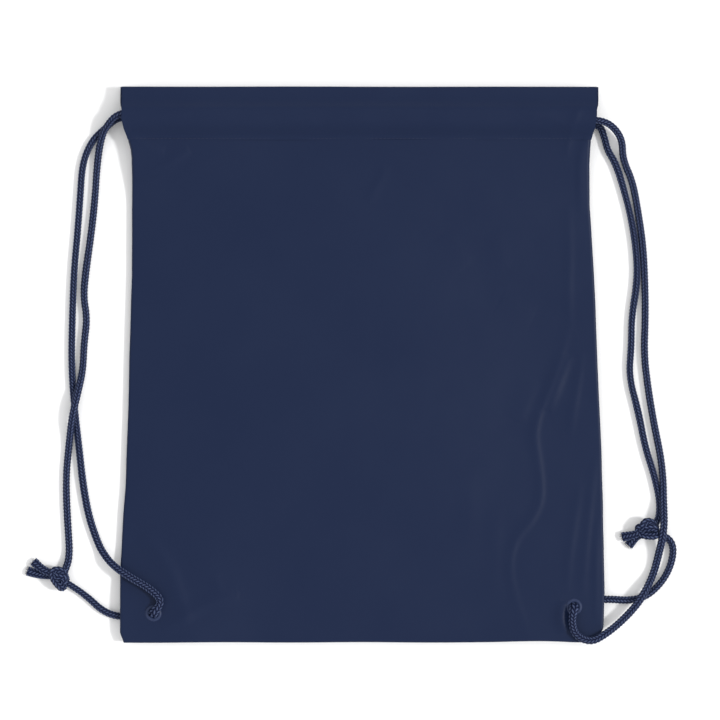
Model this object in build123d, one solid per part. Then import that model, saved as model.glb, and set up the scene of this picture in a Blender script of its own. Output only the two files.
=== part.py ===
from build123d import *
import math
import os

# Drawstring backpack lying flat on a table, front panel up, mouth towards +Y.
# Millimetres. +X runs across the bag, +Y towards the mouth, +Z up from the table.
# The origin is the bottom centre of the bag's own box, on the table.

# ---- driving dimensions ----
BOTTOM_Y = -202.5
MOUTH_Y = 203.0
HEM_Y = 164.0                    # stitch line that closes the cord casings
SEAM_TOP_Y = 150.0               # the side seams stop here, below the casings
BOTTOM_HALF_WIDTH = 176.0
TOP_HALF_WIDTH = 167.3           # at the top of the side seams
HEM_HALF_WIDTH = 155.3           # the panels narrow to this at the hem, inside the casing's own ends
CASING_LEFT_X = -176.7
CASING_RIGHT_X = 172.0
FABRIC = 0.8                     # thickness of one ply, as built
SEAM_ALLOWANCE = 10.0
THREAD = 0.5

CORD_DIAMETER = 4.8

# Heights of the layers above the table.
BACK_SHELF_TOP = 7.8             # edge of the back panel, raised so that a cord passes under it
SEAM_TOP = BACK_SHELF_TOP + FABRIC
FRONT_SHELF_TOP = SEAM_TOP + FABRIC
BACK_CASING_Z = 0.0
FRONT_CASING_Z = 12.0
CASING_HEIGHT = 7.2
FRONT_PLATEAU_TOP = FRONT_CASING_Z + FABRIC
CASING_LIP = 1.6                 # two plies where a casing is sewn shut
LIP_WIDTH = 2.0
TUNNEL_LOW_Y = 171.4
TUNNEL_HIGH_Y = 188.6
TUNNEL_DRAFT = 1.5               # how far each side of the tunnel leans in
RIM_SLOPE = 4.4                  # how far past the tunnel the casing comes down to the flat rim
TUNNEL_Z = FABRIC + 0.5 * (CASING_HEIGHT - 2 * FABRIC)   # cord axis above a casing's base

# Plan of the pouch, inset from the seams.
SHELF_WIDTH = 22.0
SLOPE_WIDTH = 18.0
POUCH_CORNER = 24.0

EYELET_OUTER_RADIUS = 6.0
EYELET_BORE_RADIUS = 3.2
EYELET_WALL = 0.5
EYELET_FLANGE = 0.8
LEFT_EYELET = (-151.4, -180.3)
RIGHT_EYELET = (154.6, -175.6)

# Rows of the two cords inside the casings: the left cord runs above the right one.
LEFT_FRONT_ROW = 184.0
LEFT_BACK_ROW = 181.6
RIGHT_FRONT_ROW = 178.2
RIGHT_BACK_ROW = 175.8
BIGHT_X = 168.5                  # where each cord turns back, at the far end of the casings
CASING_NOTCH_X = 157.0           # the inner plies stop here, so that the cord can turn
STRAND_START_X = 164.0           # where a shoulder strand takes over from the casing loop

FRONT_TUNNEL = FRONT_CASING_Z + TUNNEL_Z
BACK_TUNNEL = BACK_CASING_Z + TUNNEL_Z
TABLE_Z = 2.5                    # axis of a cord that lies on the table
OVER_EYELET_Z = 13.6             # axis of a cord that lies over an eyelet
BORE_MID_Z = 8.1                 # where the front run and the return meet inside an eyelet

# ---- cord routes, chosen by hand: the points between straight runs ----
# The left cord leaves the front casing, crosses over its own other strand twice and ends at its knot.
LEFT_KNOT_STRAND = [
    (-STRAND_START_X, LEFT_FRONT_ROW, FRONT_TUNNEL),
    (-176.0, 184.3, 15.2),
    (-186.2, 173.8, 9.6),
    (-190.6, 162.5, 4.4),
    (-193.0, 145.0, 2.5),
    (-194.4, 121.0, 2.5),
    (-197.4, 94.0, 2.5),
    (-201.0, 70.0, 2.5),
    (-202.9, 50.5, 2.5),
    (-200.1, 34.5, 2.5),
    (-202.4, 16.0, 2.5),
    (-203.2, -4.0, 2.5),
    (-207.4, -23.0, 8.5),
    (-210.9, -38.5, 8.5),
    (-213.2, -56.5, 2.5),
    (-215.5, -80.0, 2.5),
    (-215.0, -104.0, 2.5),
    (-213.4, -127.4, 2.5),
]
LEFT_KNOT_LEAD = [
    (-213.4, -128.8, 2.5),
    (-213.1, -136.0, 2.6),
    (-213.9, -144.0, 3.6),
    (-216.5, -150.5, 5.4),
]
LEFT_EYELET_STRAND = [
    (-STRAND_START_X, LEFT_BACK_ROW, BACK_TUNNEL),
    (-176.2, 181.9, 3.5),
    (-186.4, 173.6, 2.5),
    (-196.8, 164.0, 2.5),
    (-203.6, 147.5, 2.5),
    (-205.2, 123.0, 2.5),
    (-207.0, 98.0, 2.5),
    (-209.6, 70.0, 2.5),
    (-211.0, 35.0, 2.5),
    (-211.6, -1.0, 2.5),
    (-209.4, -31.0, 2.5),
    (-206.2, -58.0, 2.5),
    (-203.3, -86.0, 2.5),
    (-199.0, -110.0, 2.5),
    (-193.0, -127.4, 2.5),
]
LEFT_EYELET_RUN = [
    (-192.8, -128.0, 2.5),
    (-189.0, -136.0, 3.4),
    (-181.0, -145.6, 10.8),
    (-168.0, -154.2, 13.6),
    (-154.0, -162.0, 13.2),
    (-144.6, -171.0, OVER_EYELET_Z),
    (LEFT_EYELET[0], LEFT_EYELET[1], OVER_EYELET_Z),
    (LEFT_EYELET[0], LEFT_EYELET[1], BORE_MID_Z),
]
LEFT_RETURN = [
    (LEFT_EYELET[0], LEFT_EYELET[1], BORE_MID_Z),
    (LEFT_EYELET[0], LEFT_EYELET[1], TABLE_Z),
    (-162.5, -182.6, TABLE_Z),
    (-178.0, -183.4, TABLE_Z),
    (-189.5, -178.6, TABLE_Z),
    (-199.0, -169.5, TABLE_Z),
    (-209.0, -162.0, 3.4),
    (-217.0, -157.0, 5.4),
]
LEFT_TAILS = [
    [(-222.0, -152.5, 7.0), (-229.5, -150.0, 7.2), (-235.0, -146.2, 6.0), (-239.4, -141.2, 3.0)],
    [(-222.0, -155.0, 4.0), (-230.0, -154.0, 2.6), (-237.5, -152.3, 2.5), (-244.8, -149.0, 2.5)],
]
LEFT_KNOT_ENDS = ((-223.6, -147.8), (-216.6, -162.4))

# The right cord: its front strand passes the knot on the way to the eyelet.
RIGHT_EYELET_STRAND = [
    (STRAND_START_X, RIGHT_FRONT_ROW, FRONT_TUNNEL),
    (172.0, 178.7, 15.4),
    (182.5, 174.6, 11.6),
    (190.0, 164.5, 6.4),
    (190.4, 150.5, 2.7),
    (197.8, 134.0, 2.5),
    (201.9, 111.0, 2.5),
    (205.4, 87.0, 2.5),
    (206.7, 60.0, 2.5),
    (207.0, 34.0, 2.5),
    (206.0, 8.0, 2.5),
    (209.0, -17.0, 2.5),
    (213.2, -42.0, 2.5),
    (219.2, -66.0, 2.5),
    (221.0, -84.0, 2.5),
    (221.3, -99.4, 2.5),
]
RIGHT_EYELET_RUN = [
    (221.3, -100.0, 2.5),
    (221.6, -107.0, 3.2),
    (221.6, -115.5, 8.7),
    (220.3, -125.5, 8.7),
    (217.4, -137.0, 3.2),
    (213.0, -152.0, 3.0),
    (206.8, -164.0, 8.6),
    (200.2, -174.6, 8.6),
    (189.5, -186.0, 8.0),
    (178.5, -194.6, 12.6),
    (167.0, -201.3, 12.8),
    (156.0, -196.6, 12.6),
    (152.8, -187.0, OVER_EYELET_Z),
    (RIGHT_EYELET[0], RIGHT_EYELET[1], OVER_EYELET_Z),
    (RIGHT_EYELET[0], RIGHT_EYELET[1], BORE_MID_Z),
]
RIGHT_KNOT_STRAND = [
    (STRAND_START_X, RIGHT_BACK_ROW, BACK_TUNNEL),
    (173.6, 176.2, 3.5),
    (177.0, 167.0, 2.5),
    (179.4, 157.0, 2.5),
    (185.6, 147.0, 2.5),
    (191.2, 129.0, 2.5),
    (196.6, 108.0, 2.5),
    (200.2, 86.0, 2.5),
    (201.4, 62.0, 2.5),
    (197.0, 36.0, 2.5),
    (196.8, 14.0, 2.5),
    (195.0, -8.0, 2.5),
    (202.0, -34.0, 2.5),
    (207.0, -60.0, 2.5),
    (213.6, -80.0, 2.5),
    (215.5, -99.4, 2.5),
]
RIGHT_KNOT_LEAD = [
    (215.5, -100.0, 2.5),
    (215.9, -106.0, 2.6),
    (215.2, -112.0, 3.8),
    (212.5, -117.0, 5.4),
]
RIGHT_RETURN = [
    (RIGHT_EYELET[0], RIGHT_EYELET[1], BORE_MID_Z),
    (RIGHT_EYELET[0], RIGHT_EYELET[1], TABLE_Z),
    (165.0, -172.2, TABLE_Z),
    (179.0, -170.2, TABLE_Z),
    (196.0, -171.6, TABLE_Z),
    (209.0, -168.0, TABLE_Z),
    (220.5, -156.5, TABLE_Z),
    (226.6, -143.0, TABLE_Z),
    (227.6, -130.5, TABLE_Z),
    (221.0, -123.6, TABLE_Z),
    (213.0, -121.0, 4.4),
]
RIGHT_TAILS = [
    [(206.0, -119.6, 7.6), (200.5, -121.4, 7.6), (195.5, -122.8, 6.2), (190.6, -123.6, 3.2)],
    [(206.0, -121.6, 4.0), (201.0, -123.6, 2.6), (197.2, -127.2, 2.5), (194.6, -131.4, 2.5)],
]
RIGHT_KNOT_ENDS = ((200.2, -119.0), (217.6, -120.6))
KNOT_RADIUS = 6.2


def side_x(y):
    """Half width of the body at a height y."""
    share = (y - BOTTOM_Y) / (SEAM_TOP_Y - BOTTOM_Y)
    return BOTTOM_HALF_WIDTH + share * (TOP_HALF_WIDTH - BOTTOM_HALF_WIDTH)


def prism(points, low, high):
    """A straight-sided block over a plan outline."""
    outline = make_face(Polyline(*points, close=True))
    return Pos(0, 0, low) * extrude(outline, amount=high - low)


def tapered(low_points, low, high_points, high):
    """A block whose outline changes from one height to another."""
    low_face = Pos(0, 0, low) * make_face(Polyline(*low_points, close=True))
    high_face = Pos(0, 0, high) * make_face(Polyline(*high_points, close=True))
    return loft([low_face, high_face], ruled=True)


def body_outline():
    return [
        (-BOTTOM_HALF_WIDTH, BOTTOM_Y),
        (BOTTOM_HALF_WIDTH, BOTTOM_Y),
        (TOP_HALF_WIDTH, SEAM_TOP_Y),
        (HEM_HALF_WIDTH, HEM_Y),
        (-HEM_HALF_WIDTH, HEM_Y),
        (-TOP_HALF_WIDTH, SEAM_TOP_Y),
    ]


def pouch_outline(inset):
    """The body's outline moved in from the seams, open past the hem, with cut lower corners."""
    low_y = BOTTOM_Y + inset
    top_y = HEM_Y + 10.0
    low_x = side_x(low_y) - inset
    top_x = side_x(top_y) - inset
    return [
        (-low_x + POUCH_CORNER, low_y),
        (low_x - POUCH_CORNER, low_y),
        (low_x, low_y + POUCH_CORNER),
        (top_x, top_y),
        (-top_x, top_y),
        (-low_x, low_y + POUCH_CORNER),
    ]


def skin(block):
    """The top ply of a block, one fabric thickness deep."""
    return block - Pos(0, 0, -FABRIC) * block


def eyelet_holes():
    radius = EYELET_BORE_RADIUS + EYELET_WALL
    holes = [Pos(x, y, 0) * Cylinder(radius, 60) for x, y in (LEFT_EYELET, RIGHT_EYELET)]
    return holes[0] + holes[1]


def front_panel():
    body = prism(body_outline(), -20, FRONT_SHELF_TOP)
    wide, narrow = pouch_outline(SHELF_WIDTH), pouch_outline(SHELF_WIDTH + SLOPE_WIDTH)
    pouch = tapered(wide, FRONT_SHELF_TOP, narrow, FRONT_PLATEAU_TOP)
    pouch = pouch & prism(body_outline(), -20, 40)
    return skin(body + pouch) - eyelet_holes()


def back_panel():
    body = prism(body_outline(), -20, BACK_SHELF_TOP)
    wide, narrow = pouch_outline(SHELF_WIDTH), pouch_outline(SHELF_WIDTH + SLOPE_WIDTH)
    pouch = tapered(narrow, FABRIC, wide, BACK_SHELF_TOP)
    return skin(body - pouch) - eyelet_holes()


def casing(base):
    """A hem folded into a tunnel for the cords, its flat side down."""
    roof = CASING_HEIGHT - FABRIC
    outer = [
        (HEM_Y, 0),
        (HEM_Y, CASING_LIP),
        (HEM_Y + LIP_WIDTH, CASING_LIP),
        (TUNNEL_LOW_Y + TUNNEL_DRAFT / 2, CASING_HEIGHT),
        (TUNNEL_HIGH_Y - TUNNEL_DRAFT / 2, CASING_HEIGHT),
        (TUNNEL_HIGH_Y + RIM_SLOPE, CASING_LIP + FABRIC),
        (MOUTH_Y, CASING_LIP + FABRIC),
        (MOUTH_Y, 0),
    ]
    tunnel = [
        (TUNNEL_LOW_Y, FABRIC),
        (TUNNEL_LOW_Y + TUNNEL_DRAFT, roof),
        (TUNNEL_HIGH_Y - TUNNEL_DRAFT, roof),
        (TUNNEL_HIGH_Y, FABRIC),
    ]
    section = make_face(Polyline(*outer, close=True)) - make_face(Polyline(*tunnel, close=True))
    plane = Plane(origin=(CASING_LEFT_X, 0, base), x_dir=(0, 1, 0), z_dir=(1, 0, 0))
    return extrude(plane * section, amount=CASING_RIGHT_X - CASING_LEFT_X)


def casing_notches(low, high):
    """The room at both ends where a cord turns from one casing into the other."""
    spans = [(CASING_LEFT_X - 1.0, -CASING_NOTCH_X), (CASING_NOTCH_X, CASING_RIGHT_X + 1.0)]
    notches = []
    for left, right in spans:
        outline = [(left, TUNNEL_LOW_Y), (right, TUNNEL_LOW_Y), (right, TUNNEL_HIGH_Y), (left, TUNNEL_HIGH_Y)]
        notches.append(prism(outline, low, high))
    return notches[0] + notches[1]


def front_channel():
    return casing(FRONT_CASING_Z) - casing_notches(FRONT_CASING_Z - 1.0, FRONT_CASING_Z + FABRIC)


def back_channel():
    top = BACK_CASING_Z + CASING_HEIGHT
    return casing(BACK_CASING_Z) - casing_notches(top - FABRIC, top + 1.0)


def channel_stitching(base):
    """The row of thread along the hem."""
    low = base + CASING_LIP
    return Pos(0, HEM_Y + LIP_WIDTH / 2, low + THREAD / 2) * Box(2 * HEM_HALF_WIDTH, THREAD, THREAD)


def side_seam(side):
    top, low = SEAM_TOP_Y, BOTTOM_Y + SEAM_ALLOWANCE
    points = [
        (side * side_x(low), low),
        (side * side_x(top), top),
        (side * (side_x(top) - SEAM_ALLOWANCE), top),
        (side * (side_x(low) - SEAM_ALLOWANCE), low),
    ]
    return prism(points, BACK_SHELF_TOP, SEAM_TOP)


def side_overlock(side):
    """The thread wrapped round the raw edge of a side seam."""
    top, low = SEAM_TOP_Y, BOTTOM_Y + SEAM_ALLOWANCE
    inner_top, inner_low = side_x(top) - SEAM_ALLOWANCE, side_x(low) - SEAM_ALLOWANCE
    points = [
        (side * inner_low, low),
        (side * inner_top, top),
        (side * (inner_top - 2 * THREAD), top),
        (side * (inner_low - 2 * THREAD), low),
    ]
    return prism(points, BACK_SHELF_TOP, SEAM_TOP)


def bottom_seam():
    high = BOTTOM_Y + SEAM_ALLOWANCE
    points = [
        (-BOTTOM_HALF_WIDTH, BOTTOM_Y),
        (BOTTOM_HALF_WIDTH, BOTTOM_Y),
        (side_x(high), high),
        (-side_x(high), high),
    ]
    return prism(points, BACK_SHELF_TOP, SEAM_TOP)


def bottom_overlock():
    low = BOTTOM_Y + SEAM_ALLOWANCE
    half = side_x(low) - SEAM_ALLOWANCE - 3 * THREAD
    middle = (BACK_SHELF_TOP + SEAM_TOP) / 2
    return Pos(0, low + THREAD, middle) * Box(2 * half, 2 * THREAD, FABRIC)


def eyelet(place):
    """Barrel with a rolled front flange."""
    bore, barrel = EYELET_BORE_RADIUS, EYELET_BORE_RADIUS + EYELET_WALL
    low = BACK_SHELF_TOP - FABRIC - EYELET_FLANGE
    top = FRONT_SHELF_TOP + EYELET_FLANGE
    outline = Polyline(
        (bore, low),
        (barrel, low),
        (barrel, FRONT_SHELF_TOP),
        (EYELET_OUTER_RADIUS, FRONT_SHELF_TOP),
    )
    crown = ThreePointArc(
        (EYELET_OUTER_RADIUS, FRONT_SHELF_TOP),
        (0.5 * (EYELET_OUTER_RADIUS + bore), top),
        (bore, FRONT_SHELF_TOP),
    )
    inner = Line((bore, FRONT_SHELF_TOP), (bore, low))
    section = make_face(outline + crown + inner)
    return Pos(*place, 0) * revolve(Plane.XZ * section, Axis.Z)


def eyelet_washer(place):
    high = BACK_SHELF_TOP - FABRIC
    barrel = EYELET_BORE_RADIUS + EYELET_WALL
    ring = Cylinder(EYELET_OUTER_RADIUS, EYELET_FLANGE) - Cylinder(barrel, EYELET_FLANGE)
    return Pos(*place, high - EYELET_FLANGE / 2) * ring


def corner_radii(points):
    """The radius at each corner: as large as the two runs beside it allow."""
    vectors = [Vector(*point) for point in points]
    runs = [b - a for a, b in zip(vectors, vectors[1:])]
    shares = [0.45 * run.length for run in runs]
    shares[0] = 0.9 * runs[0].length
    shares[-1] = 0.9 * runs[-1].length
    radii = []
    for index in range(len(runs) - 1):
        turn = math.radians(runs[index].get_angle(runs[index + 1]))
        reach = min(shares[index], shares[index + 1])
        radii.append(reach / math.tan(turn / 2))
    return radii


def cord_tube(name, points):
    """A round tube along straight runs joined by tangent arcs."""
    radii = corner_radii(points)
    path = FilletPolyline(*points, radius=radii)
    section = Plane(origin=path @ 0, z_dir=path % 0) * Circle(CORD_DIAMETER / 2)
    tube = sweep(section, path=path)
    expected = math.pi * (CORD_DIAMETER / 2) ** 2 * path.length
    print(f"{name}: length {path.length:.1f}, volume/expected {tube.volume / expected:.4f},"
          f" radii {[round(radius) for radius in radii]}")
    return tube


def casing_loop(name, side, front_row, back_row):
    """One cord inside both casings: in on one side, round the far end and back."""
    near, far = -side * STRAND_START_X, side * BIGHT_X
    points = [
        (near, front_row, FRONT_TUNNEL),
        (far, front_row, FRONT_TUNNEL),
        (far, back_row, BACK_TUNNEL),
        (near, back_row, BACK_TUNNEL),
    ]
    return cord_tube(name, points)


def knot(ends):
    """The outer shape of an overhand knot, as a rounded lump between two points."""
    start, end = Vector(*ends[0], KNOT_RADIUS), Vector(*ends[1], KNOT_RADIUS)
    half = (end - start).length / 2
    upper = Pos(0, KNOT_RADIUS) * Rectangle(2 * half, 2 * KNOT_RADIUS)
    section = Ellipse(half, KNOT_RADIUS) & upper
    lump = revolve(section, Axis.X)
    return Plane(origin=(start + end) / 2, x_dir=end - start, z_dir=(0, 0, 1)) * lump


def tails(name, routes):
    return Compound([cord_tube(f"{name} {index + 1}", route) for index, route in enumerate(routes)])


def main():
    os.makedirs("parts", exist_ok=True)
    nodes = {
        "front_panel": front_panel(),
        "back_panel": back_panel(),
        "front_channel": front_channel(),
        "back_channel": back_channel(),
        "front_channel_stitching": channel_stitching(FRONT_CASING_Z),
        "back_channel_stitching": channel_stitching(BACK_CASING_Z),
        "left_side_seam": side_seam(-1),
        "right_side_seam": side_seam(1),
        "bottom_seam": bottom_seam(),
        "left_seam_overlock": side_overlock(-1),
        "right_seam_overlock": side_overlock(1),
        "bottom_seam_overlock": bottom_overlock(),
        "left_eyelet": eyelet(LEFT_EYELET),
        "right_eyelet": eyelet(RIGHT_EYELET),
        "left_eyelet_washer": eyelet_washer(LEFT_EYELET),
        "right_eyelet_washer": eyelet_washer(RIGHT_EYELET),
        "left_cord_channel_loop": casing_loop("left loop", 1, LEFT_FRONT_ROW, LEFT_BACK_ROW),
        "right_cord_channel_loop": casing_loop("right loop", -1, RIGHT_FRONT_ROW, RIGHT_BACK_ROW),
        "left_knot": knot(LEFT_KNOT_ENDS),
        "right_knot": knot(RIGHT_KNOT_ENDS),
        "left_knot_tails": tails("left tail", LEFT_TAILS),
        "right_knot_tails": tails("right tail", RIGHT_TAILS),
    }
    routes = {
        "left_cord_knot_strand": LEFT_KNOT_STRAND,
        "left_cord_knot_lead": LEFT_KNOT_LEAD,
        "left_cord_eyelet_strand": LEFT_EYELET_STRAND,
        "left_cord_eyelet_run": LEFT_EYELET_RUN,
        "left_cord_return": LEFT_RETURN,
        "right_cord_knot_strand": RIGHT_KNOT_STRAND,
        "right_cord_knot_lead": RIGHT_KNOT_LEAD,
        "right_cord_eyelet_strand": RIGHT_EYELET_STRAND,
        "right_cord_eyelet_run": RIGHT_EYELET_RUN,
        "right_cord_return": RIGHT_RETURN,
    }
    for name, points in routes.items():
        nodes[name] = cord_tube(name, points)
    for name, shape in nodes.items():
        export_step(shape, f"parts/{name}.step")


main()
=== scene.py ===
import math

import bpy
import numpy as np
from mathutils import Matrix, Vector, noise


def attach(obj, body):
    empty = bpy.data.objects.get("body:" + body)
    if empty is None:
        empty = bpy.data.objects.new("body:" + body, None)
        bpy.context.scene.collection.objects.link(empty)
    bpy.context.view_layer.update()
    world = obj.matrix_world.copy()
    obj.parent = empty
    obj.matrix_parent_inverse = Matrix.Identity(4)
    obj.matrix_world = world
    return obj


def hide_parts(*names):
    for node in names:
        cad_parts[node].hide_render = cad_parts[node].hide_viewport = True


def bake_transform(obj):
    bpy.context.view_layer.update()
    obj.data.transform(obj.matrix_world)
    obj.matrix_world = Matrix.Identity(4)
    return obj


# Drawstring backpack lying flat, front up, mouth towards +Y. Metres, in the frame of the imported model.

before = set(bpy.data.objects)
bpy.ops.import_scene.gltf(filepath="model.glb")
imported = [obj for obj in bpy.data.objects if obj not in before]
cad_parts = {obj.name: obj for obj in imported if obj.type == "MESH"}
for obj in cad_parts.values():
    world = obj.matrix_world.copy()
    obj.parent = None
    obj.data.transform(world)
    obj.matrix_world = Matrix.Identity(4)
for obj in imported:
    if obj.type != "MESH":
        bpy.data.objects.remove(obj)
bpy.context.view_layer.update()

# ---------------------------------------------------------------- sizes of the cords
CORD_DIAMETER = 0.0048
CORD_RADIUS = 0.0027         # to the crowns of the strands
KNOT_CORD_RADIUS = 1.06 * CORD_RADIUS
BRAID_STRANDS = 6            # strands of each hand round the cord, an even number
BRAID_PITCH = 0.0150         # length in which a strand goes once round
BRAID_RELIEF = 0.00072       # depth of the gaps between strands
PAINTED_HAND_LIGHT = 0.90             # painted light: how pale the second hand's strands are painted beside the first's
CROWN_HIGHLIGHT_POWER = 2.4            # the higher, the narrower the painted highlights on the crowns
RING_SPACING = 0.00045
RING_SEGMENTS = 48
LOOP_RING_SPACING = 0.001
LOOP_SEGMENTS = 16
LOOP_STEPS = 6
FILAMENT_RADIUS = 0.00016    # at a cut end
FILAMENT_COUNT = 46

# ---------------------------------------------------------------- sizes of the cloth
SIDES = {"left": -1.0, "right": 1.0}      # the sign of x there
LAYERS = {"front": 1.0, "back": -1.0}     # whether its outer face looks up or down

BOTTOM_Y = -0.2025
HEM_Y = 0.1640
MOUTH_Y = 0.2030
CLOTH = 0.00035              # thickness of one ply
CELL = 0.00125               # spacing of a cloth's grid
PANEL_SPAN = 0.172           # the panels' grids are spaced for this width
CASING_SPAN = 0.174          # and the casings' for this
SEAM_Z = 0.0082              # height of the pouch's edge, on the front's outside
BACK_SEAM_Z = SEAM_Z - 0.0003
ALLOWANCE_Z = SEAM_Z + 0.0001
FRONT_SHELF_Z = 0.0094
FRONT_TOP_Z = 0.0127
BACK_SHELF_Z = 0.0072
BACK_LOW_Z = 0.0003
FRONT_INNER_Z = 0.0130       # the front casing's inner ply is below this
BACK_INNER_Z = 0.0052        # and the back casing's above this
EDGE_RADIUS = 0.0018
SHELF_INSET = 0.026          # the pouch is flat from its seams to here
POUCH_INSET = 0.062          # and reaches its full depth at the back here
FRONT_INSET = 0.150          # and at the front here
LOW_EDGE_Y = -0.2017         # the cloth's own lower edge, rolled in a little from the seam
SAG = {"left": 0.0037, "right": 0.0010, "bottom": 0.0025}   # of the seams between the corners
SAG_REACH = 0.090            # how far in from the seams the sag fades out
NOTCH_X = 0.1570             # the casings' inner plies stop here, where the cords turn
TUNNEL_Y = (0.1714, 0.1886)  # lowest and highest point of the cords' tunnel
EDGE_SEED = {"left": 4.4, "right": 7.7}      # of the edges' own unevenness
BACK_PEEK = 0.0020           # the back's header sticks out this far at each end

# ---------------------------------------------------------------- eyelets, seams and stitches
EYELETS = {"left": (-0.1514, -0.1803), "right": (0.1546, -0.1756)}
EYELET_HOLE = 0.0046
SEAM_TOP_Y = 0.1500          # the side seams end here
SEAM_ALLOWANCE = 0.0100
SEAM_STEP = 0.0030           # spacing of a seam allowance's grid
SIDE_SEAM_INSET = 0.0012     # the allowances start this far in from the edge
BOTTOM_SEAM_INSET = 0.0014
OVERLOCK_STEP = 0.00125      # from one side of the raw edge to the other
HEM_STITCH_RISE = 0.0010     # of the stitches above the hem's lower edge
FRONT_HEM_Z = 0.01275        # height of the stitches
BACK_HEM_Z = 0.00065
STITCH_PITCH = 0.0030
STITCH_SHARE = 0.76          # of the pitch that one stitch covers
THREAD_RADIUS = 0.00024
WEAVE_PITCH = 0.00052        # from one yarn of the cloth to the next but one

# ---------------------------------------------------------------- outline
# Edge of the cloth: (height up the bag, how far the edge is from the middle).
LEFT_EDGE = [
    (-0.2025, 0.1728), (-0.1945, 0.1758), (-0.1500, 0.1758), (-0.1084, 0.1737), (-0.0894, 0.1721),
    (-0.0376, 0.1702), (0.0090, 0.1691), (0.0660, 0.1674), (0.1354, 0.1672), (0.1515, 0.1674),
    (0.1573, 0.1680), (0.1646, 0.1700), (0.1720, 0.1727), (0.1790, 0.1743), (0.1865, 0.1740),
    (0.2030, 0.1738),
]
RIGHT_EDGE = [
    (-0.2025, 0.1705), (-0.1913, 0.1761), (-0.1653, 0.1770), (-0.1274, 0.1763), (-0.0610, 0.1748),
    (-0.0033, 0.1721), (0.0464, 0.1703), (0.0865, 0.1681), (0.1145, 0.1662), (0.1453, 0.1659),
    (0.1569, 0.1665), (0.1639, 0.1670), (0.1737, 0.1698), (0.1814, 0.1708), (0.2030, 0.1708),
]

# ---------------------------------------------------------------- cord routes
LEFT_KNOT_STRAND = [
    (-0.1640, 0.1840, 0.0156), (-0.1760, 0.1843, 0.0152), (-0.1862, 0.1738, 0.0096),
    (-0.1906, 0.1625, 0.0044), (-0.1930, 0.1450, 0.0025), (-0.1944, 0.1210, 0.0025),
    (-0.1974, 0.0940, 0.0025), (-0.2010, 0.0700, 0.0025), (-0.2029, 0.0505, 0.0025),
    (-0.2001, 0.0345, 0.0025), (-0.2024, 0.0160, 0.0025), (-0.2032, -0.0040, 0.0025),
    (-0.2074, -0.0230, 0.0085), (-0.2109, -0.0385, 0.0085), (-0.2132, -0.0565, 0.0025),
    (-0.2155, -0.0800, 0.0025), (-0.2150, -0.1040, 0.0025), (-0.2134, -0.1281, 0.0025),
    (-0.2131, -0.1360, 0.0026), (-0.2139, -0.1440, 0.0036), (-0.2165, -0.1505, 0.0054),
]
LEFT_EYELET_STRAND = [
    (-0.1640, 0.1816, 0.0036), (-0.1762, 0.1819, 0.0035), (-0.1864, 0.1736, 0.0025),
    (-0.1968, 0.1640, 0.0025), (-0.2036, 0.1475, 0.0025), (-0.2052, 0.1230, 0.0025),
    (-0.2070, 0.0980, 0.0025), (-0.2096, 0.0700, 0.0025), (-0.2110, 0.0350, 0.0025),
    (-0.2116, -0.0010, 0.0025), (-0.2094, -0.0310, 0.0025), (-0.2062, -0.0580, 0.0025),
    (-0.2033, -0.0860, 0.0025), (-0.1990, -0.1100, 0.0025), (-0.1929, -0.1277, 0.0025),
    (-0.1890, -0.1360, 0.0032), (-0.1810, -0.1456, 0.0098), (-0.1680, -0.1542, 0.0124),
    (-0.1540, -0.1620, 0.0123), (-0.1446, -0.1710, 0.0130), (-0.1514, -0.1803, 0.0136),
    (-0.1514, -0.1803, 0.0081),
]
LEFT_RETURN = [
    (-0.1514, -0.1803, 0.0081), (-0.1514, -0.1803, 0.0025), (-0.1625, -0.1826, 0.0025),
    (-0.1780, -0.1834, 0.0025), (-0.1895, -0.1786, 0.0025), (-0.1990, -0.1695, 0.0025),
    (-0.2090, -0.1620, 0.0034), (-0.2170, -0.1570, 0.0054),
]
LEFT_TAILS = [
    [(-0.2220, -0.1515, 0.0070), (-0.2290, -0.1502, 0.0070), (-0.2340, -0.1474, 0.0058),
     (-0.2390, -0.1430, 0.0034)],
    [(-0.2220, -0.1535, 0.0042), (-0.2295, -0.1532, 0.0030), (-0.2365, -0.1524, 0.0026),
     (-0.2436, -0.1498, 0.0025)],
]
RIGHT_EYELET_STRAND = [
    (0.1640, 0.1782, 0.0156), (0.1720, 0.1787, 0.0154), (0.1825, 0.1746, 0.0116),
    (0.1900, 0.1645, 0.0064), (0.1904, 0.1505, 0.0027), (0.1978, 0.1340, 0.0025),
    (0.2019, 0.1110, 0.0025), (0.2054, 0.0870, 0.0025), (0.2067, 0.0600, 0.0025),
    (0.2070, 0.0340, 0.0025), (0.2060, 0.0080, 0.0025), (0.2090, -0.0170, 0.0025),
    (0.2132, -0.0420, 0.0025), (0.2182, -0.0660, 0.0026), (0.2200, -0.0840, 0.0036),
    (0.2200, -0.0980, 0.0056), (0.2202, -0.1070, 0.0080), (0.2201, -0.1160, 0.0104),
    (0.2190, -0.1255, 0.0098), (0.2168, -0.1370, 0.0040), (0.2130, -0.1520, 0.0030),
    (0.2068, -0.1640, 0.0086), (0.2002, -0.1746, 0.0086), (0.1895, -0.1860, 0.0080),
    (0.1785, -0.1946, 0.0120), (0.1670, -0.2013, 0.0122), (0.1560, -0.1966, 0.0121),
    (0.1528, -0.1870, 0.0130), (0.1546, -0.1756, 0.0136), (0.1546, -0.1756, 0.0081),
]
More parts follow.
